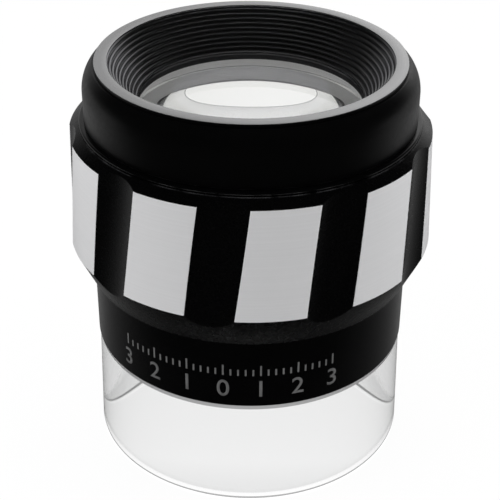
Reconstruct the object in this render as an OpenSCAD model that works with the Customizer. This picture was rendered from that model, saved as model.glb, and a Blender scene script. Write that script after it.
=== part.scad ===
// Focusing loupe on a clear stand, in millimetres.
// The foot rests on z = 0 and the optical axis is the Z axis.
// Turning the grip ring anticlockwise, seen from above, screws the lens group
// upwards: three guide screws run in helical slots of the fixed barrel.

/* [Clear base] */
// Height of the clear base below the barrel
base_h = 15.35; // [13:0.05:20]
// Diameter of the foot, at the bottom of the clear base
foot_d = 41.5; // [41:0.1:45]
// Diameter of the clear base where it meets the barrel
base_top_d = 40.7; // [39:0.1:41]
// Diameter of the bore at the foot
mouth_d = 37.2; // [34:0.1:38.4]
// Diameter of the bore at the top
base_bore_d = 31.2; // [29:0.1:32]
// Radius of the long curve along which the bore flares
bore_curve_r = 150; // [100:5:400]
// Wall of the neck that stands up inside the barrel
neck_wall = 1.3; // [1:0.05:1.5]
// Bevel round the edges of the foot
foot_bevel = 0.35; // [0.1:0.05:0.6]
// Width of the gasket under the barrel
gasket_w = 1.4; // [1:0.1:1.6]
// Thickness of the gasket
gasket_h = 0.7; // [0.4:0.1:1.5]

/* [Barrel] */
// Outer diameter of the fixed barrel
barrel_d = 41.04; // [40.6:0.02:41.4]
// Bore of the fixed barrel, in which the lens barrel slides
barrel_bore_d = 37.8; // [37.4:0.1:38.2]
// Length of the fixed barrel
barrel_h = 22.25; // [21.5:0.05:23]
// Height of the lip inside the barrel's lower end
lip_h = 1.5; // [1:0.1:2]
// Height of the nut that clamps the clear base to the lip
nut_h = 2; // [1.5:0.1:2.6]

/* [Focusing] */
// Rise of the lens group in one turn of the grip ring
focus_lead = 20; // [16:0.5:22]
// Turn of the grip ring from the shown place to the lower stop, in degrees
turn_down = 50; // [30:1:50]
// Turn of the grip ring from the shown place to the upper stop, in degrees
turn_up = 40; // [20:1:40]
// Width of the helical slots
slot_w = 3; // [2.4:0.1:3.2]
// Height of the guide screws above the barrel's lower end
guide_h = 17.05; // [16.8:0.05:17.4]
// Diameter of the guide screws' shanks
guide_shank_d = 2; // [1.6:0.1:2.2]
// Height of the split nylon ring that damps the movement
damper_h = 1.6; // [1.2:0.1:2]
// Depth of the damping ring's groove
damper_groove = 1.2; // [0.8:0.1:1.4]

/* [Grip ring] */
// Height of the barrel that shows below the grip ring
barrel_show = 9.65; // [9:0.05:10.2]
// Height of the grip ring
ring_h = 20.15; // [19.8:0.05:21]
// Diameter over the lands at their upper ends
land_top_d = 45.36; // [45:0.02:46]
// Diameter over the lands at their lower ends
land_bottom_d = 46.64; // [45.4:0.02:48]
// Diameter of the ring's lower edge
ring_foot_d = 42.24; // [42.1:0.02:44]
// Height of the slope between the lower edge and the lands
ring_foot_h = 4.64; // [3:0.02:6]
// Diameter of the ring's flat top
ring_top_d = 42.9; // [42.8:0.02:43.6]
// Height of the slope between the lands and the flat top
ring_crown_h = 1; // [0.6:0.02:1.6]
// Thickness of the web that joins the ring to the lens barrel
web_h = 1.65; // [1.5:0.05:2]
// Number of lands round the ring
lands = 10; // [8:1:12]
// Radius of the flutes between the lands
flute_r = 8.5; // [7:0.1:10]
// Depth of the flutes
flute_depth = 0.8; // [0.5:0.05:1]
// Slant of the flutes from upright, in degrees
flute_slant = 9; // [0:0.5:10]
// Direction of one land's middle, anticlockwise from +X, in degrees
land_azimuth = -81.8; // [-90:0.2:-54]

/* [Eyepiece cap] */
// Diameter of the cap
cap_d = 41.56; // [41:0.02:41.8]
// Height of the cap above the grip ring
cap_h = 7.85; // [7:0.05:9]
// Radius of the cap's round shoulder
shoulder_r = 4.3; // [3.6:0.1:5.5]
// Outer diameter of the flat rim
rim_d = 38.36; // [37.6:0.02:38.8]
// Inner diameter of the flat rim
rim_bore_d = 35.24; // [34:0.02:36]
// Height of the rim above the shoulder
rim_h = 0.48; // [0.3:0.02:0.8]
// Width of the narrow ledge between the rim and the shoulder
ledge_w = 0.3; // [0.1:0.02:0.5]
// Diameter of the eye opening below the ridges
throat_d = 28; // [26:0.1:29]
// Number of ridges that keep stray light off the eye
ridges = 10; // [6:1:10]
// Height from one ridge to the next
ridge_pitch = 0.52; // [0.5:0.01:0.54]
// Radius of each ridge's round crest
ridge_r = 0.25; // [0.15:0.01:0.25]
// Depth of the seat cut into the foot of the cap for the trim ring
trim_seat = 0.3; // [0.24:0.02:0.4]
// Width of the trim ring round the foot of the cap
trim_w = 0.88; // [0.7:0.02:0.9]
// Height of the trim ring
trim_h = 0.54; // [0.4:0.02:0.8]

/* [Lens group] */
// Diameter of the lenses
lens_d = 30; // [29:0.1:30.4]
// Radius of the top face of the upper lens pair
top_curve_r = 120; // [60:1:300]
// Radius of the inner faces of both lens pairs
inner_curve_r = 40; // [34:0.5:60]
// Radius of the bottom face of the lower lens pair
bottom_curve_r = 37.5; // [32:0.5:60]
// Radius of the cemented faces inside both lens pairs
joint_curve_r = 27; // [25:0.5:40]
// Thickness of each crown lens at its middle
crown_t = 10.3; // [10:0.02:10.4]
// Thickness of each flint lens at its middle
flint_t = 1.5; // [1.5:0.02:2.2]
// Air gap between the two lens pairs
pair_gap = 0.6; // [0.4:0.05:1]
// Diameter of the lens barrel's neck, on which the cap screws
lens_neck_d = 33.2; // [32.8:0.1:33.6]
// Height of the neck above the flange
lens_neck_h = 3.85; // [3:0.05:4]
// Thickness of the lip that holds the upper lens
lens_lip_t = 0.63; // [0.4:0.01:0.8]
// Thickness of the lens barrel's flange
flange_t = 2.5; // [2:0.1:2.7]
// Depth by which the lens barrel reaches past the lower lens
lens_guard = 0.4; // [0.3:0.05:0.8]
// Height of the lens barrel's lower guide land
low_land_h = 4.1; // [3.4:0.1:4.6]
// Height of the lens barrel's upper guide land
high_land_h = 6; // [5:0.1:7]
// Diameter of the waist between the guide lands
waist_d = 34.8; // [33.6:0.1:35.6]
// Inner diameter of the spacer between the lens pairs
spacer_bore_d = 29.1; // [27:0.1:29.2]
// Inner diameter of the ring that keeps the lower lens in
retainer_bore_d = 28.8; // [27:0.1:29]
// Wall of the ring that keeps the lower lens in
retainer_wall = 1.85; // [1.6:0.05:2]

/* [Fasteners and fits] */
// Number of guide screws, and of the screws that hold the grip ring
screws = 3; // [2:1:4]
// Diameter of the grip ring screws
ring_screw_d = 2; // [1.6:0.1:2.2]
// Head diameter of the grip ring screws
ring_screw_head_d = 3.8; // [3:0.1:4]
// Distance of the grip ring screws from the axis
ring_screw_r = 18.65; // [18.6:0.01:18.75]
// Clearance between pieces that turn or slide in each other
running_fit = 0.1; // [0.05:0.01:0.15]
// Clearance between pieces that are screwed or laid into each other
close_fit = 0.05; // [0.02:0.01:0.1]
// Clearance between lens faces and what they touch
lens_fit = 0.02; // [0.01:0.01:0.05]

/* [Hidden] */
$fn = 144;
// Overlap of a cutter past the face that it cuts
over = 1;

// Heights of the fixed pieces
neck_top = base_h + lip_h + nut_h;
barrel_top = base_h + barrel_h;
guide_z = base_h + guide_h;
// Heights of the moving pieces, in the shown place
ring_z = base_h + barrel_show;
ring_top = ring_z + ring_h;
land_low_z = ring_z + ring_foot_h;
land_high_z = ring_top - ring_crown_h;
flange_top = ring_top - web_h;
lens_neck_top = flange_top + lens_neck_h;
cap_top = ring_top + cap_h;

// Drop of a lens face of radius curve at a distance r from the axis
function sag(curve, r) = curve - sqrt(curve * curve - r * r);

// Heights of the lens faces at their middles, from the top down
lip_bore_r = throat_d / 2 + close_fit;
lens_top = lens_neck_top - lens_lip_t - lens_fit + sag(top_curve_r, lip_bore_r);
upper_joint = lens_top - flint_t;
upper_inner = upper_joint - crown_t;
lower_inner = upper_inner - pair_gap;
lower_joint = lower_inner - crown_t;
lens_bottom = lower_joint - flint_t;
lens_barrel_z = lens_bottom - lens_guard;
lens_bore_r = lens_d / 2 + close_fit;

// Radii shared by neighbours
neck_r = base_bore_d / 2 + neck_wall;
slide_r = barrel_bore_d / 2 - running_fit;
ring_bore_r = barrel_d / 2 + running_fit;
retainer_bore_r = retainer_bore_d / 2;
retainer_r = retainer_bore_r + retainer_wall;
retainer_top = lens_bottom + sag(bottom_curve_r, retainer_bore_r) - lens_fit;

// Places of the ridges inside the cap
ridge_step = (rim_bore_d - throat_d) / 2 / (ridges - 0.5);
rim_lip = 0.18;
cup_floor = cap_top - rim_lip - ridges * ridge_pitch;

// Slots for a spanner in the nut and the retainer, and for a screwdriver in the screws
spanner_w = 1.2;
spanner_depth = 0.6;
driver_w = 0.5;
driver_depth = 0.5;

// Ring with a rectangular section
module ring_solid(outer_r, inner_r, low, high) {
    rotate_extrude()
        translate([inner_r, low])
            square([outer_r - inner_r, high - low]);
}

// Spanner slot right across a ring, with its lower side at the height low
module spanner_slot(outer_r, low) {
    translate([-outer_r - over, -spanner_w / 2, low])
        cube([2 * (outer_r + over), spanner_w, spanner_depth + over]);
}

// Slice of a lens between two heights, bounded by the faces that the children cut
module lens_blank(low, high) {
    rotate_extrude()
        intersection() {
            translate([0, low])
                square([lens_d / 2, high - low]);
            children();
        }
}

// Everything under a lens face that bulges up to the height z on the axis
module face_under(curve, z) {
    translate([0, z - curve])
        circle(r = curve, $fn = 720);
}

// Everything over a lens face that bulges down to the height z on the axis
module face_over(curve, z) {
    translate([0, z + curve])
        circle(r = curve, $fn = 720);
}

// Clear stand with a flared bore, a recess for the gasket and a neck for the nut
module clear_base() {
    foot_r = foot_d / 2;
    mouth_r = mouth_d / 2;
    bore_r = base_bore_d / 2;
    run = [bore_r - mouth_r, base_h];
    chord = norm(run);
    bow = sqrt(bore_curve_r * bore_curve_r - chord * chord / 4);
    curve_mid = [(mouth_r + bore_r) / 2, base_h / 2] + bow / chord * [run[1], -run[0]];
    color([0.86, 0.92, 0.94, 0.45])
        rotate_extrude()
            difference() {
                polygon([[bore_r, 0], [foot_r - foot_bevel, 0], [foot_r, foot_bevel],
                         [base_top_d / 2, base_h], [neck_r + gasket_w, base_h],
                         [neck_r + gasket_w, base_h - gasket_h], [neck_r, base_h - gasket_h],
                         [neck_r, neck_top], [bore_r, neck_top]]);
                difference() {
                    polygon([[0, -over], [mouth_r, -over], [mouth_r, 0],
                             [bore_r, base_h], [0, base_h]]);
                    translate(curve_mid)
                        circle(r = bore_curve_r, $fn = 720);
                }
            }
}

// Soft gasket between the clear base and the barrel
module base_gasket() {
    color("gray")
        ring_solid(neck_r + gasket_w - close_fit, neck_r + close_fit, base_h - gasket_h, base_h);
}

// Stations along a helical slot, each with its turn and half its height: the
// two ends are rounded, and the play lets the screws reach both stops freely
slot_play = 1;
slot_steps = 10;
end_steps = 4;
end_bend = 72;
slot_mid_r = (barrel_d + barrel_bore_d) / 4;
slot_half = slot_w / 2 / cos(atan(focus_lead / (2 * PI * slot_mid_r)));
function round_end(turn, side) =
    [for (k = [0 : end_steps])
        let (bend = end_bend * (side > 0 ? k : end_steps - k) / end_steps,
             reach = slot_w / 2 * sin(bend) / slot_mid_r * 180 / PI)
        [turn + side * reach, slot_half * cos(bend)]];
slot_stations = concat(
    round_end(-turn_down - slot_play, -1),
    [for (k = [1 : slot_steps - 1])
        [-turn_down - slot_play + (turn_down + turn_up + 2 * slot_play) * k / slot_steps,
         slot_half]],
    round_end(turn_up + slot_play, 1));

// Corners of a slot's cutter at one station: inner and outer, below and above
function slot_corners(station) =
    let (z = guide_z + focus_lead * station[0] / 360,
         inner = barrel_bore_d / 2 - over,
         outer = barrel_d / 2 + over)
    [for (corner = [[inner, -1], [outer, -1], [outer, 1], [inner, 1]])
        [corner[0] * cos(station[0]), corner[0] * sin(station[0]), z + corner[1] * station[1]]];

// Cutter of one helical slot
module slot_cutter() {
    last = 4 * (len(slot_stations) - 1);
    sides = [for (a = [0 : 4 : last - 4]) for (k = [0 : 3]) each
        let (b = a + k, c = a + (k + 1) % 4) [[b, c, b + 4], [c, c + 4, b + 4]]];
    ends = [[0, 2, 1], [0, 3, 2], [last, last + 1, last + 2], [last, last + 2, last + 3]];
    polyhedron(points = [for (station = slot_stations) each slot_corners(station)],
               faces = concat(sides, ends));
}

// Fixed barrel: a tube with a lip at its foot and helical slots under the grip ring
module fixed_barrel() {
    edge = 0.2;
    r = barrel_d / 2;
    bore = barrel_bore_d / 2;
    color([0.1, 0.1, 0.11])
        difference() {
            rotate_extrude()
                polygon([[neck_r + close_fit, base_h], [r - edge, base_h], [r, base_h + edge],
                         [r, barrel_top - edge], [r - edge, barrel_top], [bore, barrel_top],
                         [bore, base_h + lip_h], [neck_r + close_fit, base_h + lip_h]]);
            for (i = [0 : screws - 1])
                rotate([0, 0, 360 / screws * i])
                    slot_cutter();
        }
}

// Nut on the clear base's neck
module base_nut() {
    nut_r = barrel_bore_d / 2 - running_fit;
    color([0.2, 0.2, 0.21])
        difference() {
            ring_solid(nut_r, neck_r + close_fit, base_h + lip_h, neck_top);
            spanner_slot(nut_r, neck_top - spanner_depth);
        }
}

// Height of the damping ring's lower face, in the middle of the lower guide land
damper_z = lens_barrel_z + (low_land_h - damper_h) / 2;

// Split nylon ring in the lens barrel's groove
module damping_ring() {
    split = 1.2;
    // The ring springs out to the bore, so it leaves only a share of the clearance
    drag_share = 0.3;
    outer_r = barrel_bore_d / 2 - drag_share * running_fit;
    inner_r = slide_r - damper_groove + close_fit;
    color("ivory")
        difference() {
            ring_solid(outer_r, inner_r, damper_z, damper_z + damper_h);
            translate([0, -split / 2, damper_z - over])
                cube([outer_r + over, split, damper_h + 2 * over]);
        }
}

// Tube that carries the lenses, with two guide lands, a flange and a neck
module lens_barrel() {
    groove_r = slide_r - damper_groove;
    waist = waist_d / 2;
    flange_r = ring_bore_r - 2 * running_fit;
    flange_z = flange_top - flange_t;
    low_top = lens_barrel_z + low_land_h;
    high_low = guide_z - high_land_h / 2;
    high_top = guide_z + high_land_h / 2;
    seat = close_fit;
    color([0.12, 0.12, 0.13])
        difference() {
            rotate_extrude()
                polygon([[retainer_r + close_fit, lens_barrel_z], [slide_r, lens_barrel_z],
                         [slide_r, damper_z - seat], [groove_r, damper_z - seat],
                         [groove_r, damper_z + damper_h + seat], [slide_r, damper_z + damper_h + seat],
                         [slide_r, low_top], [waist, low_top], [waist, high_low],
                         [slide_r, high_low], [slide_r, high_top], [waist, high_top],
                         [waist, flange_z], [flange_r, flange_z], [flange_r, flange_top],
                         [lens_neck_d / 2, flange_top], [lens_neck_d / 2, lens_neck_top],
                         [lip_bore_r, lens_neck_top], [lip_bore_r, lens_neck_top - lens_lip_t],
                         [lens_bore_r, lens_neck_top - lens_lip_t],
                         [lens_bore_r, retainer_top + seat],
                         [retainer_r + close_fit, retainer_top + seat]]);
            for (i = [0 : screws - 1])
                rotate([0, 0, 360 / screws * i])
                    guide_screw(close_fit);
            for (i = [0 : screws - 1])
                rotate([0, 0, 360 / screws * (i + 0.5)])
                    ring_screw(close_fit / 2);
        }
}

// One guide screw pointing along +X: its head runs in the slot
module guide_screw(grow) {
    tip_wall = 0.9;
    head_sink = 0.2;
    shank_in = lens_bore_r + tip_wall - grow;
    head_out = barrel_d / 2 - head_sink;
    head_d = slot_w - 2 * running_fit;
    translate([shank_in, 0, guide_z])
        rotate([0, 90, 0])
            cylinder(d = guide_shank_d + grow, h = slide_r - shank_in + running_fit, $fn = 48);
    if (grow == 0)
        difference() {
            translate([slide_r, 0, guide_z])
                rotate([0, 90, 0])
                    cylinder(d = head_d, h = head_out - slide_r, $fn = 48);
            translate([head_out - driver_depth, -driver_w / 2, guide_z - head_d])
                cube([over, driver_w, 2 * head_d]);
        }
}

module guide_screws() {
    color("silver")
        for (i = [0 : screws - 1])
            rotate([0, 0, 360 / screws * i])
                guide_screw(0);
}

// Height of the grip ring screws' heads, a hair below the top of the web
ring_screw_top = ring_top - close_fit;

// One countersunk screw of the grip ring, with its head flush in the web
module ring_screw(grow) {
    head_h = (ring_screw_head_d - ring_screw_d) / 2;
    tip_wall = 0.5;
    tip = flange_top - flange_t + tip_wall;
    translate([ring_screw_r, 0, 0]) {
        translate([0, 0, tip - grow])
            cylinder(d = ring_screw_d + 2 * grow, h = ring_screw_top - tip, $fn = 48);
        translate([0, 0, ring_screw_top - head_h])
            cylinder(d1 = ring_screw_d + 2 * grow, d2 = ring_screw_head_d + 2 * grow,
                     h = head_h + grow, $fn = 48);
        if (grow > 0)
            translate([0, 0, ring_screw_top])
                cylinder(d = ring_screw_head_d + 2 * grow, h = over, $fn = 48);
    }
}

module ring_screws() {
    color("dimgray")
        for (i = [0 : screws - 1])
            rotate([0, 0, 360 / screws * (i + 0.5)])
                difference() {
                    ring_screw(0);
                    translate([ring_screw_r - ring_screw_head_d, -driver_w / 2,
                               ring_screw_top - driver_depth])
                        cube([2 * ring_screw_head_d, driver_w, over]);
                }
}

// Cutters of the slanted flutes, leaning with the cone of the lands
module flute_cutters() {
    mid_z = (land_low_z + land_high_z) / 2;
    land_r = (land_top_d + land_bottom_d) / 4;
    lean = atan((land_bottom_d - land_top_d) / 2 / (land_high_z - land_low_z));
    for (i = [0 : lands - 1])
        rotate([0, 0, land_azimuth + 360 / lands * (i + 0.5)])
            translate([land_r - flute_depth + flute_r, 0, mid_z])
                rotate([-flute_slant, 0, 0])
                    rotate([0, -lean, 0])
                        cylinder(r = flute_r, h = 2 * ring_h, center = true);
}

// Grip ring: a cone with sloped ends, slanted flutes and an inner web
module grip_ring() {
    web_bore = lens_neck_d / 2 + running_fit;
    color([0.62, 0.62, 0.63])
        difference() {
            rotate_extrude()
                polygon([[ring_bore_r, ring_z], [ring_foot_d / 2, ring_z],
                         [land_bottom_d / 2, land_low_z], [land_top_d / 2, land_high_z],
                         [ring_top_d / 2, ring_top], [web_bore, ring_top],
                         [web_bore, flange_top], [ring_bore_r, flange_top]]);
            flute_cutters();
            for (i = [0 : screws - 1])
                rotate([0, 0, 360 / screws * (i + 0.5)])
                    ring_screw(close_fit / 2);
        }
}

// Round-edged trim ring that lies on the grip ring, under the edge of the cap
module trim_ring() {
    inner_r = cap_d / 2 - trim_seat + close_fit;
    nose = trim_h / 2;
    color([0.1, 0.1, 0.11])
        rotate_extrude()
            union() {
                translate([inner_r, ring_top])
                    square([trim_w - nose, trim_h]);
                translate([inner_r + trim_w - nose, ring_top + nose])
                    circle(r = nose, $fn = 32);
            }
}

// Section of the cap's outside: a stepped foot, a round shoulder and a flat rim
module cap_outline() {
    r = cap_d / 2;
    rise = cap_top - rim_h;
    ledge_r = rim_d / 2 + ledge_w;
    shoulder_z = rise - sqrt(shoulder_r * shoulder_r - pow(ledge_r - r + shoulder_r, 2));
    seat_top = ring_top + trim_h + close_fit;
    intersection() {
        translate([0, ring_top])
            square([r, rise - ring_top]);
        union() {
            translate([0, seat_top])
                square([r, shoulder_z - seat_top]);
            translate([0, ring_top])
                square([r - trim_seat, shoulder_z - ring_top]);
            translate([0, ring_top])
                square([r - shoulder_r, rise - ring_top]);
            translate([r - shoulder_r, shoulder_z])
                circle(r = shoulder_r);
        }
    }
    translate([0, ring_top])
        square([rim_d / 2, cap_top - ring_top]);
}

// Eyepiece cap: screws on the lens barrel's neck, with a ridged cup for the eye
module eyepiece_cap() {
    throat = throat_d / 2;
    rim_bore = rim_bore_d / 2;
    // Depth of the cone that carries the ridges, outside the line of their crests
    groove = 1.2 * ridge_r;
    groove_end = max(throat, rim_bore - ridges * ridge_step + groove);
    neck_bore = lens_neck_d / 2 + running_fit;
    neck_space = lens_neck_top + close_fit;
    color([0.14, 0.14, 0.15])
        rotate_extrude()
            union() {
                difference() {
                    cap_outline();
                    polygon([[-over, ring_top - over], [neck_bore, ring_top - over],
                             [neck_bore, neck_space], [throat, neck_space],
                             [throat, cup_floor], [groove_end, cup_floor],
                             [rim_bore + groove, cap_top - rim_lip], [rim_bore, cap_top - rim_lip],
                             [rim_bore, cap_top + over], [-over, cap_top + over]]);
                }
                for (i = [0 : ridges - 1])
                    translate([rim_bore - ridge_step * (i + 0.5) + ridge_r,
                               cap_top - rim_lip - ridge_pitch * (i + 0.5)])
                        circle(r = ridge_r, $fn = 24);
            }
}

// Upper lens pair: a flint lens towards the eye and a crown lens below it
module upper_flint_lens() {
    color([0.8, 0.9, 0.9, 0.5])
        lens_blank(upper_inner, lens_top)
            difference() {
                face_under(top_curve_r, lens_top);
                face_under(joint_curve_r, upper_joint + lens_fit);
            }
}

module upper_crown_lens() {
    color([0.8, 0.88, 0.92, 0.5])
        lens_blank(upper_inner, upper_joint)
            intersection() {
                face_under(joint_curve_r, upper_joint);
                face_over(inner_curve_r, upper_inner);
            }
}

// Spacer whose inner corners touch the lenses
module lens_spacer() {
    drop = sag(inner_curve_r, spacer_bore_d / 2);
    color([0.15, 0.15, 0.16])
        ring_solid(lens_d / 2, spacer_bore_d / 2,
                   lower_inner - drop + lens_fit, upper_inner + drop - lens_fit);
}

// Lower lens pair, the upper one turned over
module lower_crown_lens() {
    color([0.8, 0.88, 0.92, 0.5])
        lens_blank(lower_joint, lower_inner)
            intersection() {
                face_under(inner_curve_r, lower_inner);
                face_over(joint_curve_r, lower_joint);
            }
}

module lower_flint_lens() {
    color([0.8, 0.9, 0.9, 0.5])
        lens_blank(lens_bottom, lower_inner)
            difference() {
                face_over(bottom_curve_r, lens_bottom);
                face_over(joint_curve_r, lower_joint - lens_fit);
            }
}

// Threaded ring that keeps the lenses in
module lens_retainer() {
    color([0.15, 0.15, 0.16])
        difference() {
            ring_solid(retainer_r, retainer_bore_r, lens_barrel_z, retainer_top);
            spanner_slot(retainer_r, lens_barrel_z - over);
        }
}

clear_base();
base_gasket();
fixed_barrel();
base_nut();
damping_ring();
lens_barrel();
guide_screws();
grip_ring();
ring_screws();
trim_ring();
eyepiece_cap();
upper_flint_lens();
upper_crown_lens();
lens_spacer();
lower_crown_lens();
lower_flint_lens();
lens_retainer();
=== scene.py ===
# %% [markdown]
# # A focusing loupe on a clear stand
# The loupe is a short, fat tube. An eye cap with a ridged cup sits on top, then
# comes a grip ring with bright lands and black flutes, a black barrel with a
# printed scale, and a clear acrylic base that stands on the print to be looked at.
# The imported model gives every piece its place. Here each piece that shows is
# modelled again with smooth turned surfaces, and gets its finish.

# %% Load the frame
import math

import bmesh
import bpy
from mathutils import Matrix, Vector


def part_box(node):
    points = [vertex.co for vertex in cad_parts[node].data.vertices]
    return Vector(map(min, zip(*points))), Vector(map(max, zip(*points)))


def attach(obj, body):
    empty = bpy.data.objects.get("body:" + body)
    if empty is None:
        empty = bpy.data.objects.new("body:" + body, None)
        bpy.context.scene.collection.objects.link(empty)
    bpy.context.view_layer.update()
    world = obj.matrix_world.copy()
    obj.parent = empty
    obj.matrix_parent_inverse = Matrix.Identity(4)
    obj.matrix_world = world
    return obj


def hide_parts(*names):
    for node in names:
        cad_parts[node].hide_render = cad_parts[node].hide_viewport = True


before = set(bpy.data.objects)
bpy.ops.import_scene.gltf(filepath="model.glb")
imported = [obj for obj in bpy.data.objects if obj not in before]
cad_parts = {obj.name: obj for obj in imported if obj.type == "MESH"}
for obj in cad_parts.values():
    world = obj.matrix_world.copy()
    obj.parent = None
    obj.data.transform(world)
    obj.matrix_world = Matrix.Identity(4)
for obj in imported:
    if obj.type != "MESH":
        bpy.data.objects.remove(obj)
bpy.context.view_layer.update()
MM = 0.001
print("nodes:", len(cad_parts))

# %% [markdown]
# Almost every piece of a loupe is turned on a lathe, so one helper does most of
# the modelling. It draws half of the section as a chain of edges, by extruding a
# single vertex, and then spins the chain round the optical axis. A section is a
# list of (radius, height) points in millimetres. Corners may be rounded, and
# round stretches are worked out as arcs, so that a section has few numbers.

# %% Helpers for sections
ARC_STEP = 6.0
ROUNDING_STEP = 15


def arc(centre, radius, start, end, step=ARC_STEP):
    """Points on a circle between two angles in degrees, both ends included."""
    count = max(2, math.ceil(abs(end - start) / step))
    angles = [math.radians(start + (end - start) * k / count) for k in range(count + 1)]
    return [(centre[0] + radius * math.cos(a), centre[1] + radius * math.sin(a)) for a in angles]


def rounded(corners):
    """Section from (radius, height, rounding) corners of a closed outline."""
    points = []
    for i, (r, z, rounding) in enumerate(corners):
        here = Vector((r, z))
        back = (Vector(corners[i - 1][:2]) - here).normalized()
        ahead = (Vector(corners[(i + 1) % len(corners)][:2]) - here).normalized()
        if not rounding:
            points.append((r, z))
            continue
        half = back.angle(ahead) / 2
        centre = here + (back + ahead).normalized() * (rounding / math.sin(half))
        start = here + back * (rounding / math.tan(half)) - centre
        turn = start.angle_signed(here + ahead * (rounding / math.tan(half)) - centre)
        steps = max(3, math.ceil(abs(math.degrees(turn)) / ROUNDING_STEP))
        for k in range(steps + 1):
            a = math.atan2(start.y, start.x) - turn * k / steps
            points.append((centre.x + rounding * math.cos(a), centre.y + rounding * math.sin(a)))
    return points


# %% Helper that turns a section into a piece
TURN_STEPS = 180
WELD = 2e-7


def deselect_all():
    """Leave edit mode and deselect every object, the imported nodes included."""
    if bpy.context.object and bpy.context.object.mode != "OBJECT":
        bpy.ops.object.mode_set(mode="OBJECT")
    bpy.ops.object.select_all(action="DESELECT")


def draw_section(section):
    """Draw the section as a chain of edges: one vertex, extruded from point to point."""
    deselect_all()
    bpy.ops.mesh.primitive_plane_add(size=MM)
    bpy.ops.object.mode_set(mode="EDIT")
    bpy.ops.mesh.select_all(action="SELECT")
    bpy.ops.mesh.merge(type="CENTER")
    bpy.ops.transform.translate(value=(section[0][0] * MM, 0, section[0][1] * MM))
    for (r0, z0), (r1, z1) in zip(section, section[1:]):
        step = ((r1 - r0) * MM, 0, (z1 - z0) * MM)
        bpy.ops.mesh.extrude_region_move(TRANSFORM_OT_translate={"value": step})


def close_section():
    """Join the last point of the chain to the first."""
    mesh = bmesh.from_edit_mesh(bpy.context.object.data)
    for vertex in mesh.verts:
        vertex.select = len(vertex.link_edges) == 1
    mesh.select_flush_mode()
    bmesh.update_edit_mesh(bpy.context.object.data)
    bpy.ops.mesh.edge_face_add()


def turned(name, section, closed=True, steps=TURN_STEPS, smooth=32):
    """A piece turned from a section, smooth except at edges sharper than the angle."""
    draw_section(section)
    if closed:
        close_section()
    bpy.ops.mesh.select_all(action="SELECT")
    bpy.ops.mesh.spin(steps=steps, angle=2 * math.pi, center=(0, 0, 0), axis=(0, 0, 1))
    bpy.ops.mesh.select_all(action="SELECT")
    bpy.ops.mesh.remove_doubles(threshold=WELD)
    bpy.ops.mesh.normals_make_consistent(inside=False)
    bpy.ops.object.mode_set(mode="OBJECT")
    piece = bpy.context.object
    piece.name = piece.data.name = name
    bpy.ops.object.shade_smooth_by_angle(angle=math.radians(smooth))
    print(name, "has", len(piece.data.polygons), "faces")
    return piece


# %% [markdown]
# The camera stands where the photograph was taken from: in front, a hand's
# breadth away and looking about 31 degrees down. A long lens and no shift keep
# the same camera usable for the other views. The picture is tipped by a third
# of a degree, as in the photograph.

# %% Camera
LOOK_AT = Vector((0, 0, 25.31 * MM))
DISTANCE = 167.9 * MM
ELEVATION = math.radians(31.35)
ROLL = math.radians(0.368)
LENS = 90.67

camera_data = bpy.data.cameras.new("camera")
camera_data.lens = LENS
camera_data.sensor_width = 36
camera_data.clip_start = 0.01
camera = bpy.data.objects.new("camera", camera_data)
bpy.context.scene.collection.objects.link(camera)
toward = Vector((0, -math.cos(ELEVATION), math.sin(ELEVATION)))
camera.matrix_world = (
    Matrix.Translation(LOOK_AT + toward * DISTANCE)
    @ toward.to_track_quat("Z", "Y").to_matrix().to_4x4()
    @ Matrix.Rotation(ROLL, 4, "Z")
)
bpy.context.scene.camera = camera
print("camera at", [round(v / MM, 1) for v in camera.matrix_world.translation])

# %% [markdown]
# A glossy black thing is lit by what it mirrors. In the photograph it mirrors a
# dark room in front and a white wall behind: black surfaces that face the camera
# stay black, and only the rim and the far sides of the ridges turn grey. The
# world does the same for mirrored rays. Matt surfaces get an even, soft light,
# and rays from the camera, or through glass, see plain white.

# %% Helpers for shader nodes
def new_node(tree, kind, place=(0, 0), **inputs):
    """Add a shader node and set its sockets by name."""
    node = tree.nodes.new(kind)
    node.location = place
    for socket, value in inputs.items():
        node.inputs[socket.replace("_", " ")].default_value = value
    return node


def maths(tree, operation, first, second, place=(0, 0)):
    """A Math node between two sockets or numbers; returns its output."""
    node = tree.nodes.new("ShaderNodeMath")
    node.location = place
    node.operation = operation
    for slot, value in zip(node.inputs, (first, second)):
        if isinstance(value, (int, float)):
            slot.default_value = value
        else:
            tree.links.new(value, slot)
    return node.outputs["Value"]


def ramp(tree, value, from_min, from_max, to_min, to_max, place=(0, 0), smooth=False, clamp=True):
    """A Map Range node on a socket; returns its output."""
    node = tree.nodes.new("ShaderNodeMapRange")
    node.location = place
    node.clamp = clamp
    node.interpolation_type = "SMOOTHSTEP" if smooth else "LINEAR"
    for name, number in (("From Min", from_min), ("From Max", from_max),
                         ("To Min", to_min), ("To Max", to_max)):
        node.inputs[name].default_value = number
    tree.links.new(value, node.inputs["Value"])
    return node.outputs["Result"]


def seen_straight(tree):
    """1 for rays from the camera or through glass, 0 for others."""
    rays = new_node(tree, "ShaderNodeLightPath", (-900, 300))
    return maths(tree, "MAXIMUM", rays.outputs["Is Camera Ray"], rays.outputs["Is Transmission Ray"])


def seen_mirrored(tree):
    """1 for mirrored rays; rays through glass count as glossy too, so they are taken out."""
    rays = new_node(tree, "ShaderNodeLightPath", (-900, 500))
    through = rays.outputs["Is Transmission Ray"]
    return maths(tree, "MULTIPLY", rays.outputs["Is Glossy Ray"], maths(tree, "SUBTRACT", 1.0, through))


# %% World
DARK_ROOM, WHITE_WALL = 0.003, 0.87
WALL_FROM_Y, WALL_TO_Y = 0.54, 0.93
WALL_LEFT, WALL_RIGHT = 0.4, 1.0
SOFT_LIGHT = 0.44


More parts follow.
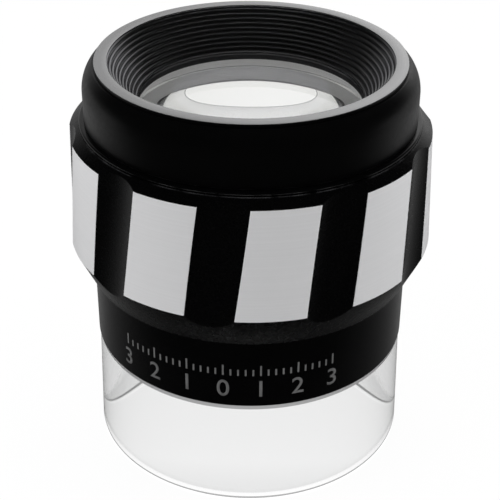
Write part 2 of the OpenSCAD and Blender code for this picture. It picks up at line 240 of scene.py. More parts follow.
def make_world():
    world = bpy.data.worlds.new("studio")
    bpy.context.scene.world = world
    world.use_nodes = True
    tree = world.node_tree
    tree.nodes.clear()
    place = new_node(tree, "ShaderNodeTexCoord", (-1200, 0))
    parts = new_node(tree, "ShaderNodeSeparateXYZ", (-1000, 0))
    tree.links.new(place.outputs["Generated"], parts.inputs["Vector"])
    wall = ramp(tree, parts.outputs["Y"], WALL_FROM_Y, WALL_TO_Y, DARK_ROOM, WHITE_WALL, (-800, 0),
                smooth=True)
    sideways = ramp(tree, parts.outputs["X"], -0.1, 0.15, WALL_LEFT, WALL_RIGHT, (-800, -200))
    wall = maths(tree, "MULTIPLY", wall, sideways, (-700, 0))
    glossy = seen_mirrored(tree)
    mirrored = maths(tree, "MULTIPLY", wall, glossy, (-600, 0))
    matt = maths(tree, "MULTIPLY", maths(tree, "SUBTRACT", 1.0, glossy), SOFT_LIGHT, (-600, 200))
    lit = maths(tree, "ADD", mirrored, matt, (-400, 100))
    strength = maths(tree, "MAXIMUM", lit, seen_straight(tree), (-200, 100))
    background = new_node(tree, "ShaderNodeBackground", (0, 0), Color=(1, 1, 1, 1))
    out = new_node(tree, "ShaderNodeOutputWorld", (200, 0))
    tree.links.new(strength, background.inputs["Strength"])
    tree.links.new(background.outputs["Background"], out.inputs["Surface"])


make_world()

# %% [markdown]
# Three soft lamps model the bare metal and draw a faint shadow. They don't show
# in mirrored rays, because the photograph has no lamp highlights on its blacks.

# %% Lamps
def soft_lamp(name, place, size, power):
    """A square lamp that looks at the middle of the loupe."""
    data = bpy.data.lights.new(name, "AREA")
    data.size = size
    data.energy = power
    lamp = bpy.data.objects.new(name, data)
    bpy.context.scene.collection.objects.link(lamp)
    away = Vector(place) - LOOK_AT
    turn = away.to_track_quat("Z", "Y").to_matrix().to_4x4()
    lamp.matrix_world = Matrix.Translation(Vector(place)) @ turn
    lamp.visible_camera = lamp.visible_glossy = lamp.visible_transmission = False
    return lamp


soft_lamp("lamp_left", (-0.32, -0.12, 0.26), 0.2, 0.75)
soft_lamp("lamp_right", (0.34, -0.05, 0.22), 0.2, 0.62)
soft_lamp("lamp_top", (0.0, 0.12, 0.42), 0.25, 0.8)

# %% [markdown]
# The floor is a plain pale sheet. Seen straight or through glass it glows nearly
# white, so that it meets the white background without an edge, and the light
# that falls on it still leaves a faint shadow. Mirrored rays see it as the blacks
# in the photograph suggest: dark in front, and paler
# from beside the loupe to the wall behind. The photograph also has a white band
# under the clear foot, and paper a little darker just inside its front. Both are
# painted into the sheet's glow here, to match the picture.

# %% Floor
FLOOR_SIZE = 3.0
FLOOR_DROP = 0.05 * MM
FLOOR_GLOW = 0.965
PAPER = 0.96
MIRRORED_FRONT, MIRRORED_BACK = 0.012, 0.28
FRONT_Y, BACK_Y = -0.04, 0.06
FOOT_R, MOUTH_R = 20.75, 18.6
FOOT_LIGHT, FOOT_SHADE = 0.12, 0.085
LIT_FROM_R = 18.35
SHADE_FROM_Y, SHADE_TO_Y = -0.0105, -0.0165


def paper_light(tree, place, parts):
    """How brightly the paper glows, seen straight: 1, with painted light under the clear foot and painted
    shade just inside its front.
    """
    flat = new_node(tree, "ShaderNodeVectorMath", (-900, -300))
    flat.operation = "LENGTH"
    tree.links.new(place.outputs["Object"], flat.inputs[0])
    radius = flat.outputs["Value"]
    inside = maths(tree, "LESS_THAN", radius, LIT_FROM_R * MM)
    under_foot = maths(tree, "SUBTRACT", maths(tree, "LESS_THAN", radius, FOOT_R * MM), inside)
    shade = ramp(tree, parts.outputs["Y"], SHADE_FROM_Y, SHADE_TO_Y, 0.0, FOOT_SHADE, (-700, -300))
    lifted = maths(tree, "ADD", 1.0, maths(tree, "MULTIPLY", under_foot, FOOT_LIGHT))
    return maths(tree, "SUBTRACT", lifted, maths(tree, "MULTIPLY", inside, shade))


def make_floor():
    deselect_all()
    bpy.ops.mesh.primitive_plane_add(size=FLOOR_SIZE, location=(0, 0, -FLOOR_DROP))
    floor = bpy.context.object
    floor.name = "floor"
    material = bpy.data.materials.new("white_paper")
    material.use_nodes = True
    tree = material.node_tree
    tree.nodes.clear()
    place = new_node(tree, "ShaderNodeTexCoord", (-1100, 0))
    parts = new_node(tree, "ShaderNodeSeparateXYZ", (-900, 0))
    tree.links.new(place.outputs["Object"], parts.inputs["Vector"])
    mirrored = ramp(tree, parts.outputs["Y"], FRONT_Y, BACK_Y, MIRRORED_FRONT, MIRRORED_BACK,
                    (-700, 0), smooth=True)
    paper = new_node(tree, "ShaderNodeBsdfDiffuse", (-200, -200), Color=(PAPER, PAPER, PAPER, 1))
    glow = new_node(tree, "ShaderNodeEmission", (-200, 0), Color=(1, 1, 1, 1))
    tree.links.new(paper_light(tree, place, parts), glow.inputs["Strength"])
    mirror = new_node(tree, "ShaderNodeEmission", (-200, 200), Color=(1, 1, 1, 1))
    tree.links.new(mirrored, mirror.inputs["Strength"])
    straight = new_node(tree, "ShaderNodeMixShader", (0, 0))
    either = new_node(tree, "ShaderNodeMixShader", (200, 0))
    out = new_node(tree, "ShaderNodeOutputMaterial", (400, 0))
    tree.links.new(maths(tree, "MULTIPLY", seen_straight(tree), FLOOR_GLOW), straight.inputs["Fac"])
    tree.links.new(paper.outputs["BSDF"], straight.inputs[1])
    tree.links.new(glow.outputs["Emission"], straight.inputs[2])
    tree.links.new(seen_mirrored(tree), either.inputs["Fac"])
    tree.links.new(straight.outputs["Shader"], either.inputs[1])
    tree.links.new(mirror.outputs["Emission"], either.inputs[2])
    tree.links.new(either.outputs["Shader"], out.inputs["Surface"])
    floor.data.materials.append(material)
    print("floor", FLOOR_SIZE, "m wide")


make_floor()

# %% [markdown]
# Finishes come next. Nearly every piece is a turned one, so its finish can ask
# where a point lies on the section: how far from the axis, and how high. Rings of
# tool marks, bare bands and worn edges all follow from these two numbers. They
# come from object space, so a finish stays put when its piece turns.

# %% Helpers for finishes
def noise(tree, scale, detail=2.0, vector=None):
    """Noise on object coordinates, or on a vector that is given; returns its output."""
    node = new_node(tree, "ShaderNodeTexNoise", (-900, 0), Scale=scale, Detail=detail)
    if vector is None:
        vector = new_node(tree, "ShaderNodeTexCoord", (-1100, 0)).outputs["Object"]
    tree.links.new(vector, node.inputs["Vector"])
    return node.outputs["Fac"]


def blended(tree, share, first, second):
    """Colour between two colours or sockets, by a share from 0 to 1."""
    node = new_node(tree, "ShaderNodeMix", (-300, 200))
    node.data_type = "RGBA"
    tree.links.new(share, node.inputs["Factor"])
    for slot, value in ((node.inputs[6], first), (node.inputs[7], second)):
        if isinstance(value, tuple):
            slot.default_value = (*value, 1)
        else:
            tree.links.new(value, slot)
    return node.outputs[2]


def vector_maths(tree, operation, first, second):
    """A Vector Math node between a socket and three numbers."""
    node = new_node(tree, "ShaderNodeVectorMath", (-700, 300))
    node.operation = operation
    tree.links.new(first, node.inputs[0])
    node.inputs[1].default_value = second
    return node


def section_place(tree):
    """Radius and height of a point in millimetres, and both as one vector."""
    place = new_node(tree, "ShaderNodeTexCoord", (-1300, 300)).outputs["Object"]
    flat = vector_maths(tree, "MULTIPLY", place, (1 / MM, 1 / MM, 0)).outputs["Vector"]
    radius = vector_maths(tree, "LENGTH", flat, (0, 0, 0)).outputs["Value"]
    height = vector_maths(tree, "DOT_PRODUCT", place, (0, 0, 1 / MM)).outputs["Value"]
    both = new_node(tree, "ShaderNodeCombineXYZ", (-700, 200))
    tree.links.new(radius, both.inputs["X"])
    tree.links.new(height, both.inputs["Y"])
    return radius, height, both.outputs["Vector"]


def edge_wear(tree, edges, width):
    """1 on the named edges of a turned piece, in patches, and 0 away from them."""
    section = section_place(tree)[2]
    nearest = None
    for radius, height in edges:
        gap = vector_maths(tree, "DISTANCE", section, (radius, height, 0)).outputs["Value"]
        nearest = gap if nearest is None else maths(tree, "MINIMUM", nearest, gap)
    close = ramp(tree, nearest, 0.0, width, 1.0, 0.0)
    patchy = ramp(tree, noise(tree, 350.0, 3.0), 0.42, 0.62, 0.0, 1.0)
    return maths(tree, "MULTIPLY", close, patchy)


# %% Helper for opaque finishes
def coated(name, colour, roughness, spread=0.05, grain=900.0, bump=0.02, metallic=0.0,
           specular=0.5, mottling=0.2, edges=(), bare=(0.04, 0.04, 0.042), wear_width=0.12):
    """A Principled finish with mottled colour, fine grain and worn edges."""
    material = bpy.data.materials.new(name)
    material.use_nodes = True
    tree = material.node_tree
    shader = tree.nodes["Principled BSDF"]
    shader.inputs["Metallic"].default_value = metallic
    shader.inputs["Specular IOR Level"].default_value = specular
    fine = noise(tree, grain, 4.0)
    broad = ramp(tree, noise(tree, 160.0), 0.3, 0.7, 0.0, 1.0)
    darker = tuple(part * (1 - mottling) for part in colour)
    lighter = tuple(part * (1 + mottling) for part in colour)
    tone = blended(tree, broad, darker, lighter)
    rough = ramp(tree, fine, 0.25, 0.75, roughness - spread, roughness + spread)
    if edges:
        tone = blended(tree, edge_wear(tree, edges, wear_width), tone, bare)
    relief = new_node(tree, "ShaderNodeBump", (-250, -200), Strength=bump, Distance=0.05 * MM)
    tree.links.new(fine, relief.inputs["Height"])
    tree.links.new(tone, shader.inputs["Base Color"])
    tree.links.new(rough, shader.inputs["Roughness"])
    tree.links.new(relief.outputs["Normal"], shader.inputs["Normal"])
    return material


def mixed(tree, share, first, second):
    """Number between two sockets or numbers, by a share from 0 to 1."""
    kept = maths(tree, "MULTIPLY", maths(tree, "SUBTRACT", 1.0, share), first)
    return maths(tree, "ADD", kept, maths(tree, "MULTIPLY", share, second))


def second_finish(material, share, colour, roughness, metallic):
    """Give the part of a piece where the share is 1 another finish."""
    tree = material.node_tree
    shader = tree.nodes["Principled BSDF"]
    base, rough, metal = (shader.inputs[name] for name in ("Base Color", "Roughness", "Metallic"))
    first_metal = metal.links[0].from_socket if metal.links else metal.default_value
    tree.links.new(blended(tree, share, base.links[0].from_socket, colour), base)
    tree.links.new(mixed(tree, share, rough.links[0].from_socket, roughness), rough)
    if metal.links or metallic != first_metal:
        tree.links.new(mixed(tree, share, first_metal, metallic), metal)


def band(tree, value, low, high):
    """1 where the value lies between two numbers, else 0."""
    over = maths(tree, "GREATER_THAN", value, low)
    return maths(tree, "MULTIPLY", over, maths(tree, "LESS_THAN", value, high))


# %% Finishes that several pieces share
BLACK = (0.0008, 0.0008, 0.0009)
inner_black = coated("inner_black", (0.01, 0.01, 0.011), 0.35, grain=1600.0)
inner_grey_and_glow = coated("inner_grey_and_glow", (0.86, 0.86, 0.86), 0.5, grain=1600.0, metallic=1.0, mottling=0.06)
gasket_grey = coated("gasket_grey", (0.45, 0.45, 0.46), 0.6, grain=2500.0, bump=0.1, mottling=0.06)
nylon = coated("nylon", (0.7, 0.68, 0.6), 0.5, mottling=0.05)
screw_steel = coated("screw_steel", (0.55, 0.55, 0.56), 0.3, metallic=1.0, mottling=0.08)
screw_black = coated("screw_black", (0.05, 0.05, 0.05), 0.35, metallic=1.0)
ground_edge_and_glow = coated("ground_edge_and_glow", (0.9, 0.9, 0.9), 0.5, grain=4000.0, bump=0.1, metallic=1.0,
                     mottling=0.05)
print("finishes:", len(bpy.data.materials))

# %% [markdown]
# The photograph shows the walls inside the lens block as an even grey. Rendered
# plainly they came out much darker, with matt and metallic finishes alike, and the
# reason wasn't found. A faint glow makes up the difference. It is a correction,
# and no real part glows.

# %% Glow of the walls inside the lens block
# The glow is painted light on the lens edges, the lens spacer and the lens retainer.
for finish, glow in ((ground_edge_and_glow, 0.11), (inner_grey_and_glow, 0.085)):
    shader = finish.node_tree.nodes["Principled BSDF"]
    shader.inputs["Emission Color"].default_value = (1, 1, 1, 1)
    shader.inputs["Emission Strength"].default_value = glow
    print(finish.name, "glows", glow)

# %% Clear finishes
def clear(name, ior, colour=(1, 1, 1), haze=0.0, coating=(1, 1, 1), absorption=0.0):
    """A clear Principled finish, with faint clouds in its tint and its polish."""
    material = bpy.data.materials.new(name)
    material.use_nodes = True
    tree = material.node_tree
    shader = tree.nodes["Principled BSDF"]
    shader.inputs["IOR"].default_value = ior
    shader.inputs["Transmission Weight"].default_value = 1.0
    shader.inputs["Specular Tint"].default_value = (*coating, 1)
    cloud = noise(tree, 220.0, 3.0)
    paler = tuple(1 - (1 - part) * 0.5 for part in colour)
    tree.links.new(blended(tree, cloud, colour, paler), shader.inputs["Base Color"])
    tree.links.new(ramp(tree, cloud, 0.3, 0.7, 0.0, haze), shader.inputs["Roughness"])
    if absorption:
        inside = new_node(tree, "ShaderNodeVolumeAbsorption", (0, -300), Density=absorption)
        inside.inputs["Color"].default_value = (0, 0, 0, 1)
        tree.links.new(inside.outputs["Volume"], tree.nodes["Material Output"].inputs["Volume"])
    return material


acrylic = clear("acrylic", 1.49, (0.995, 0.998, 0.998), 0.02, absorption=20.0)
lens_glass = clear("lens_glass", 1.9, (0.998, 1.0, 0.999), 0.003, coating=(0.12, 0.12, 0.2))
dense_glass = clear("dense_glass", 2.08, (0.998, 1.0, 0.999), 0.003, coating=(0.08, 0.08, 0.14))
close_contact = clear("close_contact", 1.0)
close_contact.node_tree.nodes["Principled BSDF"].inputs["Alpha"].default_value = 0.0

# %% [markdown]
# ## The eye cap
# The cap is turned from one piece of metal. Its outside is a straight wall, a
# round shoulder, a narrow ledge and a flat rim. The cup inside is a cone with
# ten round ridges, which keep light from the sides off the eye.

# %% Sizes of the cap
cap_low, cap_high = (corner[2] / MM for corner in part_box("eyepiece_cap"))
CAP_R = 20.78
SEAT_R = 20.48
SEAT_TOP = cap_low + 0.59
RIM_R, RIM_BORE_R = 19.18, 17.62
LEDGE_R = 19.48
LEDGE_Z = cap_high - 0.48
SHOULDER = 4.3
SHOULDER_Z = LEDGE_Z - math.sqrt(SHOULDER**2 - (LEDGE_R - CAP_R + SHOULDER) ** 2)
THROAT_R = 14.0
NECK_R, NECK_Z = 16.7, cap_low + 2.25
RIDGES, RIDGE_PITCH, RIDGE_R = 10, 0.52, 0.25
RIM_LIP = 0.18
SEAT_EDGE, RIM_EDGE = 0.08, 0.06
RIDGE_STEP = (RIM_BORE_R - THROAT_R) / (RIDGES - 0.5)
GROOVE = 1.2 * RIDGE_R
CUP_FLOOR = cap_high - RIM_LIP - RIDGES * RIDGE_PITCH


# %% The cap's section
def ridge_arcs():
    """The round crests down the cup, each cut where it leaves the groove line."""
    top = Vector((RIM_BORE_R + GROOVE, cap_high - RIM_LIP))
    run = Vector((-RIDGES * RIDGE_STEP, -RIDGES * RIDGE_PITCH)).normalized()
    across = Vector((run.y, -run.x))
    points = []
    for i in range(RIDGES):
        centre = top + Vector((RIDGE_R - GROOVE - RIDGE_STEP * (i + 0.5), -RIDGE_PITCH * (i + 0.5)))
        half = math.degrees(math.acos(-(centre - top).dot(across) / RIDGE_R))
        facing = math.degrees(math.atan2(across.y, across.x))
        points += arc(centre, RIDGE_R, facing - half, facing + half, 20)
    return points


def cap_section():
    shoulder_end = math.degrees(math.asin((LEDGE_Z - SHOULDER_Z) / SHOULDER))
    section = [(NECK_R, cap_low), (SEAT_R, cap_low), (SEAT_R, SEAT_TOP)]
    section += arc((CAP_R - SEAT_EDGE, SEAT_TOP + SEAT_EDGE), SEAT_EDGE, -90, 0, 30)
    section += arc((CAP_R - SHOULDER, SHOULDER_Z), SHOULDER, 0, shoulder_end, 3)
    section += [(RIM_R, LEDGE_Z)]
    section += arc((RIM_R - RIM_EDGE, cap_high - RIM_EDGE), RIM_EDGE, 0, 90, 30)
    section += arc((RIM_BORE_R + RIM_EDGE, cap_high - RIM_EDGE), RIM_EDGE, 90, 180, 30)
    section += [(RIM_BORE_R, cap_high - RIM_LIP), (RIM_BORE_R + GROOVE, cap_high - RIM_LIP)]
    section += ridge_arcs()
    section += [(RIM_BORE_R + GROOVE - RIDGES * RIDGE_STEP, CUP_FLOOR), (THROAT_R, CUP_FLOOR)]
    section += [(THROAT_R, NECK_Z), (NECK_R, NECK_Z)]
    return section


eye_cap = turned("eye_cap", cap_section(), steps=240)
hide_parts("eyepiece_cap")
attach(eye_cap, "focus")

# %% [markdown]
# The enamel on the cap is satin. The ridges are anodised instead, which leaves a
# dark metal that shines where it mirrors the wall. The flat rim gets a lighter grey,
# partly metallic finish, which is a painted reflection of bright light from behind.
# Each zone is picked out by its place on the section, and gets a second finish there.

# %% Finish of the cap
# The rim's two greys are a painted reflection of bright light from behind.
RIM_PAINTED_SHINE, RIM_PAINTED_SHINE_DULL = (0.43, 0.43, 0.433), (0.37, 0.37, 0.373)
CUP_SHEEN = (0.25, 0.25, 0.26)


def cap_finish():
    material = coated("cap_enamel", BLACK, 0.34, grain=1800.0, bump=0.008, wear_width=0.1,
                      edges=[(RIM_R, cap_high), (CAP_R, SEAT_TOP)])
    tree = material.node_tree
    radius, height, section = section_place(tree)
    in_cup = maths(tree, "LESS_THAN", radius, RIM_BORE_R + GROOVE + 0.01)
    second_finish(material, in_cup, CUP_SHEEN, 0.29, 1.0)
    # On the rim, the light grey, partly metallic finish is a painted reflection.
    on_rim = maths(tree, "GREATER_THAN", height, cap_high - 0.03)
    marks = noise(tree, 5.0, 3.0, section)
    second_finish(material, on_rim, blended(tree, marks, RIM_PAINTED_SHINE, RIM_PAINTED_SHINE_DULL), 0.22, 0.65)
    return material


eye_cap.data.materials.append(cap_finish())

# %% [markdown]
# ## The trim ring
# A thin ring with a round nose fills the joint between the cap and the grip ring.

# %% Trim ring
trim_low, trim_high = (corner[2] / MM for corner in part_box("trim_ring"))
TRIM_IN, TRIM_OUT = SEAT_R + 0.05, 21.41
TRIM_NOSE = (trim_high - trim_low) / 2
trim = turned("trim", [(TRIM_IN, trim_high), (TRIM_IN, trim_low)]
              + arc((TRIM_OUT - TRIM_NOSE, trim_low + TRIM_NOSE), TRIM_NOSE, -90, 90, 15))
trim.data.materials.append(coated("trim_enamel", BLACK, 0.18, edges=[(TRIM_OUT, trim_low + TRIM_NOSE)],
                                  wear_width=0.05, bare=(0.05, 0.05, 0.05)))
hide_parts("trim_ring")
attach(trim, "focus")

# %% [markdown]
# ## The grip ring
# The ring starts as a turned blank with a conical outside. Ten slanted flutes
# are milled into it, which leaves ten lands, and the lands are skimmed bright.

# %% Turned blank of the grip ring
ring_low, ring_high = (corner[2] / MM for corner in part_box("grip_ring"))
RING_BORE_R = 20.62
RING_FOOT_R = 21.12
LAND_LOW_R, LAND_LOW_Z = 23.32, ring_low + 4.64
LAND_HIGH_R, LAND_HIGH_Z = 22.68, ring_high - 1.0
RING_TOP_R = 21.45
WEB_R, WEB_Z = 16.7, ring_high - 1.65
grip = turned("grip", rounded([
    (RING_BORE_R, ring_low, 0), (RING_FOOT_R, ring_low, 0.12), (LAND_LOW_R, LAND_LOW_Z, 0.15),
    (LAND_HIGH_R, LAND_HIGH_Z, 0.08), (RING_TOP_R, ring_high, 0.1), (WEB_R, ring_high, 0),
    (WEB_R, WEB_Z, 0), (RING_BORE_R, WEB_Z, 0)]), steps=360)

# %% Milling the flutes
LANDS = 10
FLUTE_R, FLUTE_DEPTH = 8.5, 0.8
FLUTE_SLANT = math.radians(9)
BAR_SIDES, BAR_LENGTH = 256, 40
CUT_WELD = 0.01
LAND_AZIMUTH = -81.8


def flute_cutter(azimuth):
    """A round bar leaning with the cone of the lands and slanted across it."""
    lean = math.atan((LAND_LOW_R - LAND_HIGH_R) / (LAND_HIGH_Z - LAND_LOW_Z))
    middle_r = (LAND_LOW_R + LAND_HIGH_R) / 2 - FLUTE_DEPTH + FLUTE_R
    middle_z = (LAND_LOW_Z + LAND_HIGH_Z) / 2
    deselect_all()
    bpy.ops.mesh.primitive_cylinder_add(vertices=BAR_SIDES, radius=FLUTE_R * MM, depth=BAR_LENGTH * MM)
    bar = bpy.context.object
    bar.data.transform(
        Matrix.Rotation(math.radians(azimuth), 4, "Z")
        @ Matrix.Translation((middle_r * MM, 0, middle_z * MM))
        @ Matrix.Rotation(-FLUTE_SLANT, 4, "X")
        @ Matrix.Rotation(-lean, 4, "Y"))
    return bar


def mill(piece, cutters):
    """Cut the cutters, joined into one, out of the piece, and weld what the cut leaves."""
    deselect_all()
    for cutter in cutters:
        cutter.select_set(True)
    bpy.context.view_layer.objects.active = cutters[0]
    bpy.ops.object.join()
    cutter = bpy.context.object
    deselect_all()
    bpy.context.view_layer.objects.active = piece
    piece.select_set(True)
    cut = piece.modifiers.new("cut", "BOOLEAN")
    cut.operation = "DIFFERENCE"
    cut.solver = "EXACT"
    cut.object = cutter
    bpy.ops.object.modifier_apply(modifier=cut.name)
    bpy.data.objects.remove(cutter)
    bpy.ops.object.mode_set(mode="EDIT")
    bpy.ops.mesh.select_all(action="SELECT")
    bpy.ops.mesh.remove_doubles(threshold=CUT_WELD * MM)
    bpy.ops.mesh.dissolve_degenerate(threshold=CUT_WELD * MM)
    bpy.ops.object.mode_set(mode="OBJECT")


mill(grip, [flute_cutter(LAND_AZIMUTH + 360 / LANDS * (i + 0.5)) for i in range(LANDS)])
deselect_all()
grip.select_set(True)
bpy.context.view_layer.objects.active = grip
bpy.ops.object.shade_smooth_by_angle(angle=math.radians(18))
print("grip has", len(grip.data.polygons), "faces")


# %% [markdown]
# The lands are bare, skimmed metal and the rest of the ring is black. The skim
# follows the cone, so the finish asks how far a point is from the axis: on the
# cone it is bright, and below it, in a flute, it is black. Fine rings of
# tool marks run round the lands, because they depend on the height alone.

# %% Finish of the grip ring
SKIM_DEPTH = 0.05
LAND_BRIGHT, LAND_DULL = (0.79, 0.79, 0.8), (0.76, 0.76, 0.77)


def grip_finish():
    material = coated("grip_two_tone", BLACK, 0.27, grain=1800.0, specular=0.4,
                      edges=[(RING_FOOT_R, ring_low), (RING_TOP_R, ring_high)])
    tree = material.node_tree
    radius, height, section = section_place(tree)
    cone = ramp(tree, height, LAND_LOW_Z, LAND_HIGH_Z, LAND_LOW_R - SKIM_DEPTH,
                LAND_HIGH_R - SKIM_DEPTH, clamp=False)
    proud = maths(tree, "GREATER_THAN", radius, cone)
    skimmed = maths(tree, "MULTIPLY", proud, band(tree, height, LAND_LOW_Z + 0.02, LAND_HIGH_Z - 0.02))
    marks = ramp(tree, noise(tree, 4.0, 3.0, section), 0.3, 0.7, 0.0, 1.0)
    second_finish(material, skimmed, blended(tree, marks, LAND_DULL, LAND_BRIGHT), 0.3, 0.28)
    return material


grip.data.materials.append(grip_finish())
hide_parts("grip_ring")
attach(grip, "focus")

# %% [markdown]
# ## The fixed barrel
# Below the grip ring a hand's width of the fixed barrel shows: a plain black
# tube with a slightly broken edge at its foot.

# %% Fixed barrel
barrel_low, barrel_high = (corner[2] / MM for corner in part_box("fixed_barrel"))
BARREL_R, BARREL_BORE_R = 20.52, 18.9
LIP_R, LIP_TOP = 16.95, barrel_low + 1.5
SEAM_Z, GASKET_R = barrel_low - 0.15, 18.3
tube = turned("tube", rounded([
    (LIP_R, barrel_low, 0), (GASKET_R + 0.05, barrel_low, 0), (GASKET_R + 0.05, SEAM_Z, 0),
    (BARREL_R, SEAM_Z, 0.08), (BARREL_R, barrel_high, 0.2),
    (BARREL_BORE_R, barrel_high, 0), (BARREL_BORE_R, LIP_TOP, 0), (LIP_R, LIP_TOP, 0)]))
tube.data.materials.append(coated("barrel_enamel", BLACK, 0.2, grain=1400.0, specular=0.4,
                                  edges=[(BARREL_R, SEAM_Z)], wear_width=0.16))
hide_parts("fixed_barrel")
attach(tube, "base")

# %% [markdown]
# A focusing scale is printed round the front of the barrel: grey ticks with plain
# numbers under them. It is laid out flat, as on the printer's film, given the
# thickness of ink, and then wrapped round the barrel: the way along the film
# becomes the way round.

# %% Scale laid out flat
SCALE_FROM, SCALE_STEP = -48.0, 13.0
SCALE_NUMBERS = "3210123"
TICKS_PER_STEP = 5
TICK_W, TICK_LONG, TICK_SHORT = 0.22, 1.5, 0.9
TICK_LOW_Z = barrel_low + 4.5
NUMBER_H, NUMBER_LOW_Z = 2.5, barrel_low + 1.35
NUMBER_SHARE = 0.73
INK, INK_ROOT = 0.03, 0.02


def along(azimuth):
    """Length along the film for an angle round the barrel, in metres."""
    return BARREL_R * MM * math.radians(azimuth)


def flat_number(text, azimuth):
    """A number as a flat mesh that stands upright and faces the front."""
    deselect_all()
    bpy.ops.object.text_add()
    bpy.context.object.data.body = text
    bpy.context.object.data.size = NUMBER_H / NUMBER_SHARE * MM
    bpy.context.object.data.offset = 0.02 * MM
    bpy.context.object.data.align_x = "CENTER"
    bpy.ops.object.convert(target="MESH")
    mark = bpy.context.object
    mark.data.transform(Matrix.Translation((along(azimuth), 0, NUMBER_LOW_Z * MM))
                        @ Matrix.Rotation(math.pi / 2, 4, "X"))
    return mark


def flat_tick(azimuth, length):
    """A tick as an upright rectangle."""
    deselect_all()
    bpy.ops.mesh.primitive_plane_add(size=1)
    mark = bpy.context.object
    mark.data.transform(Matrix.Translation((along(azimuth), 0, (TICK_LOW_Z + length / 2) * MM))
                        @ Matrix.Rotation(math.pi / 2, 4, "X")
                        @ Matrix.Diagonal((TICK_W * MM, length * MM, 1, 1)))
    return mark


marks = [flat_number(text, SCALE_FROM + SCALE_STEP * i) for i, text in enumerate(SCALE_NUMBERS)]
for i in range((len(SCALE_NUMBERS) - 1) * TICKS_PER_STEP + 1):
    tick = TICK_SHORT if i % TICKS_PER_STEP else TICK_LONG
    marks.append(flat_tick(SCALE_FROM + SCALE_STEP / TICKS_PER_STEP * i, tick))
print("marks:", len(marks))

# %% Scale wrapped round the barrel
deselect_all()
for mark in marks:
    mark.select_set(True)
bpy.context.view_layer.objects.active = marks[0]
bpy.ops.object.join()
scale_print = bpy.context.object
scale_print.name = scale_print.data.name = "scale_print"
bpy.ops.object.mode_set(mode="EDIT")
bpy.ops.mesh.select_all(action="SELECT")
bpy.ops.mesh.remove_doubles(threshold=WELD)
bpy.ops.object.mode_set(mode="OBJECT")
ink = scale_print.modifiers.new("ink", "SOLIDIFY")
ink.thickness = (INK + INK_ROOT) * MM
ink.offset = -1
bpy.ops.object.modifier_apply(modifier=ink.name)
for vertex in scale_print.data.vertices:
    turn = vertex.co.x / (BARREL_R * MM)
    out = (BARREL_R + INK) * MM - abs(vertex.co.y)
    vertex.co = (out * math.sin(turn), -out * math.cos(turn), vertex.co.z)
scale_print.data.update()
scale_print.data.materials.append(coated("scale_ink", (0.115, 0.115, 0.115), 0.5, grain=3000.0, bump=0.05,
                                         mottling=0.15))
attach(scale_print, "base")
print("scale has", len(scale_print.data.polygons), "faces")

# %% [markdown]
# ## The clear base
# The base is a ring of polished acrylic. Its outside widens a little towards the
# foot, and its bore flares out along a long curve. A short neck stands up inside
# the barrel, where a nut holds it.

# %% Clear base
base_low, base_high = (corner[2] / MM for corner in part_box("clear_base"))
BASE_TOP_R, BASE_BORE_R = 20.35, 15.6
FOOT_BEVEL = 0.35
# Heights and radius of the two bands of painted shade on the clear wall.
SHADE_BAND_FOOT_Z, SHADE_BAND_TOP_Z = base_low + 0.6, SEAM_Z - 0.62
SHADE_BAND_R = 19.9
BORE_CURVE_R = 150.0
BASE_NECK_R, GASKET_H = 16.9, 0.7


def bore_curve():
    """The flare of the bore, from the top down, as an arc through both ends."""
    top, foot = Vector((BASE_BORE_R, barrel_low)), Vector((MOUTH_R, base_low))
    half = (foot - top).length / 2
    bow = math.sqrt(BORE_CURVE_R**2 - half**2)
    along = (foot - top).normalized()
    centre = (top + foot) / 2 + Vector((-along.y, along.x)) * bow
    start = math.degrees(math.atan2(top.y - centre.y, top.x - centre.x))
    end = math.degrees(math.atan2(foot.y - centre.y, foot.x - centre.x))
    if end - start > 180:
        end -= 360
    if start - end > 180:
        end += 360
    return arc(centre, BORE_CURVE_R, start, end, 0.4)


clear_stand = turned("clear_stand", [
    (FOOT_R - FOOT_BEVEL, base_low), (FOOT_R, base_low + FOOT_BEVEL), (BASE_TOP_R, SEAM_Z),
    (GASKET_R, SEAM_Z), (GASKET_R, barrel_low - GASKET_H), (BASE_NECK_R, barrel_low - GASKET_H),
    (BASE_NECK_R, base_high), (BASE_BORE_R, base_high)]
    + bore_curve(), steps=240)
clear_stand.data.materials.append(acrylic)
clear_stand.data.materials.append(close_contact)
for face in clear_stand.data.polygons:
    face.material_index = int(face.normal.z < -0.9 and face.center.z < FOOT_BEVEL * MM)
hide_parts("clear_base")
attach(clear_stand, "base")

# %% [markdown]
# The wall is polished, apart from a narrow band under the barrel and another round
# the foot, where the photograph shows grey lines. There it is the same finish, rougher
# and tinted dark grey, so light still passes, but scattered and darker. The dark grey is painted shade.

# %% Bands of painted shade on the clear wall
tree = acrylic.node_tree
radius, height = section_place(tree)[:2]
ends = maths(tree, "MAXIMUM", maths(tree, "LESS_THAN", height, SHADE_BAND_FOOT_Z),
             maths(tree, "GREATER_THAN", height, SHADE_BAND_TOP_Z))
rough_painted_shade = maths(tree, "MULTIPLY", ends, maths(tree, "GREATER_THAN", radius, SHADE_BAND_R))
# Inside the bands the finish is rougher and tinted dark grey, which is painted shade.
second_finish(acrylic, rough_painted_shade, (0.2, 0.2, 0.202), 0.4, 0.0)
print("frosted bands at", SHADE_BAND_FOOT_Z, "and", SHADE_BAND_TOP_Z, "mm")

# %% [markdown]
# ## The lenses
# Two cemented pairs face each other. Where a pair is cemented, light passes
# straight on, so the joint gets the close_contact finish, which doesn't bend it.
# The edges are ground matt, and only the polished faces bend light. The curves and
# the two glasses were fitted to the picture that the photograph shows in the lens,
# the lower glass last. They aren't the data of a real lens.

# %% Lens sections
LENS_R = 15.0
FACE_STEPS = 36
TOP_CURVE, JOINT_CURVE, INNER_CURVE, BOTTOM_CURVE = 120.0, 27.0, 40.0, 37.5


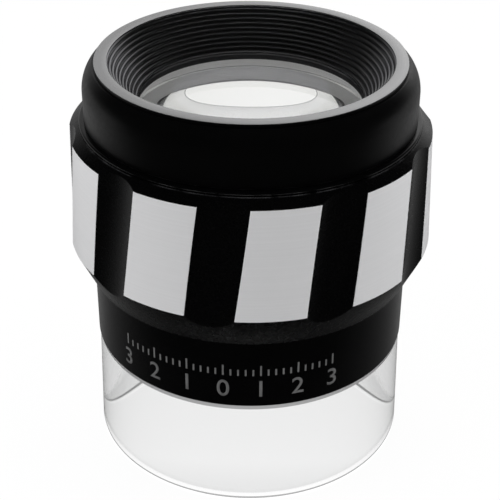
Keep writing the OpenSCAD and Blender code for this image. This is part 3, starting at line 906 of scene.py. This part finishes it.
def lens_face(curve, vertex_z, side):
    """Points of a lens face from the axis to the edge; side is 1 if its middle is its top."""
    reach = math.degrees(math.asin(LENS_R / curve))
    points = []
    for k in range(FACE_STEPS + 1):
        a = math.radians(reach * k / FACE_STEPS)
        points.append((curve * math.sin(a), vertex_z + side * curve * (math.cos(a) - 1)))
    return points


def lens(name, node, upper, lower, upper_finish, lower_finish):
    """A lens between two faces, with a ground edge."""
    body = turned(name, upper + lower[::-1], closed=False)
    for finish in (upper_finish, lower_finish, ground_edge_and_glow):
        body.data.materials.append(finish)
    for face in body.data.polygons:
        centre = face.center / MM
        if math.hypot(centre.x, centre.y) > LENS_R - 0.01 and abs(face.normal.z) < 0.2:
            face.material_index = 2
        else:
            r = math.hypot(centre.x, centre.y)
            top = min(upper, key=lambda p: abs(p[0] - r))[1]
            bottom = min(lower, key=lambda p: abs(p[0] - r))[1]
            face.material_index = 0 if abs(centre.z - top) < abs(centre.z - bottom) else 1
    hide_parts(node)
    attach(body, "focus")
    return body


# %% Lens pairs
flint_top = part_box("upper_flint_lens")[1][2] / MM
upper_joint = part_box("upper_crown_lens")[1][2] / MM
upper_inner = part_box("upper_crown_lens")[0][2] / MM
lower_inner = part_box("lower_crown_lens")[1][2] / MM
lower_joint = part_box("lower_crown_lens")[0][2] / MM
flint_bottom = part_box("lower_flint_lens")[0][2] / MM
CEMENT = 0.02

upper_flint = lens("upper_flint", "upper_flint_lens", lens_face(TOP_CURVE, flint_top, 1),
                   lens_face(JOINT_CURVE, upper_joint + CEMENT, 1), lens_glass, close_contact)
upper_crown = lens("upper_crown", "upper_crown_lens", lens_face(JOINT_CURVE, upper_joint, 1),
                   lens_face(INNER_CURVE, upper_inner, -1), close_contact, lens_glass)
lower_crown = lens("lower_crown", "lower_crown_lens", lens_face(INNER_CURVE, lower_inner, 1),
                   lens_face(JOINT_CURVE, lower_joint, -1), dense_glass, close_contact)
lower_flint = lens("lower_flint", "lower_flint_lens",
                   lens_face(JOINT_CURVE, lower_joint - CEMENT, -1),
                   lens_face(BOTTOM_CURVE, flint_bottom, -1), close_contact, dense_glass)

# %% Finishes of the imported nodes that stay
for node, finish in (("lens_barrel", inner_black), ("base_gasket", gasket_grey),
                     ("base_nut", inner_black), ("damping_ring", nylon),
                     ("guide_screws", screw_steel), ("ring_screws", screw_black),
                     ("lens_spacer", inner_grey_and_glow), ("lens_retainer", inner_grey_and_glow)):
    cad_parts[node].data.materials.clear()
    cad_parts[node].data.materials.append(finish)

# %% Finish
bpy.context.scene.view_settings.view_transform = "Standard"
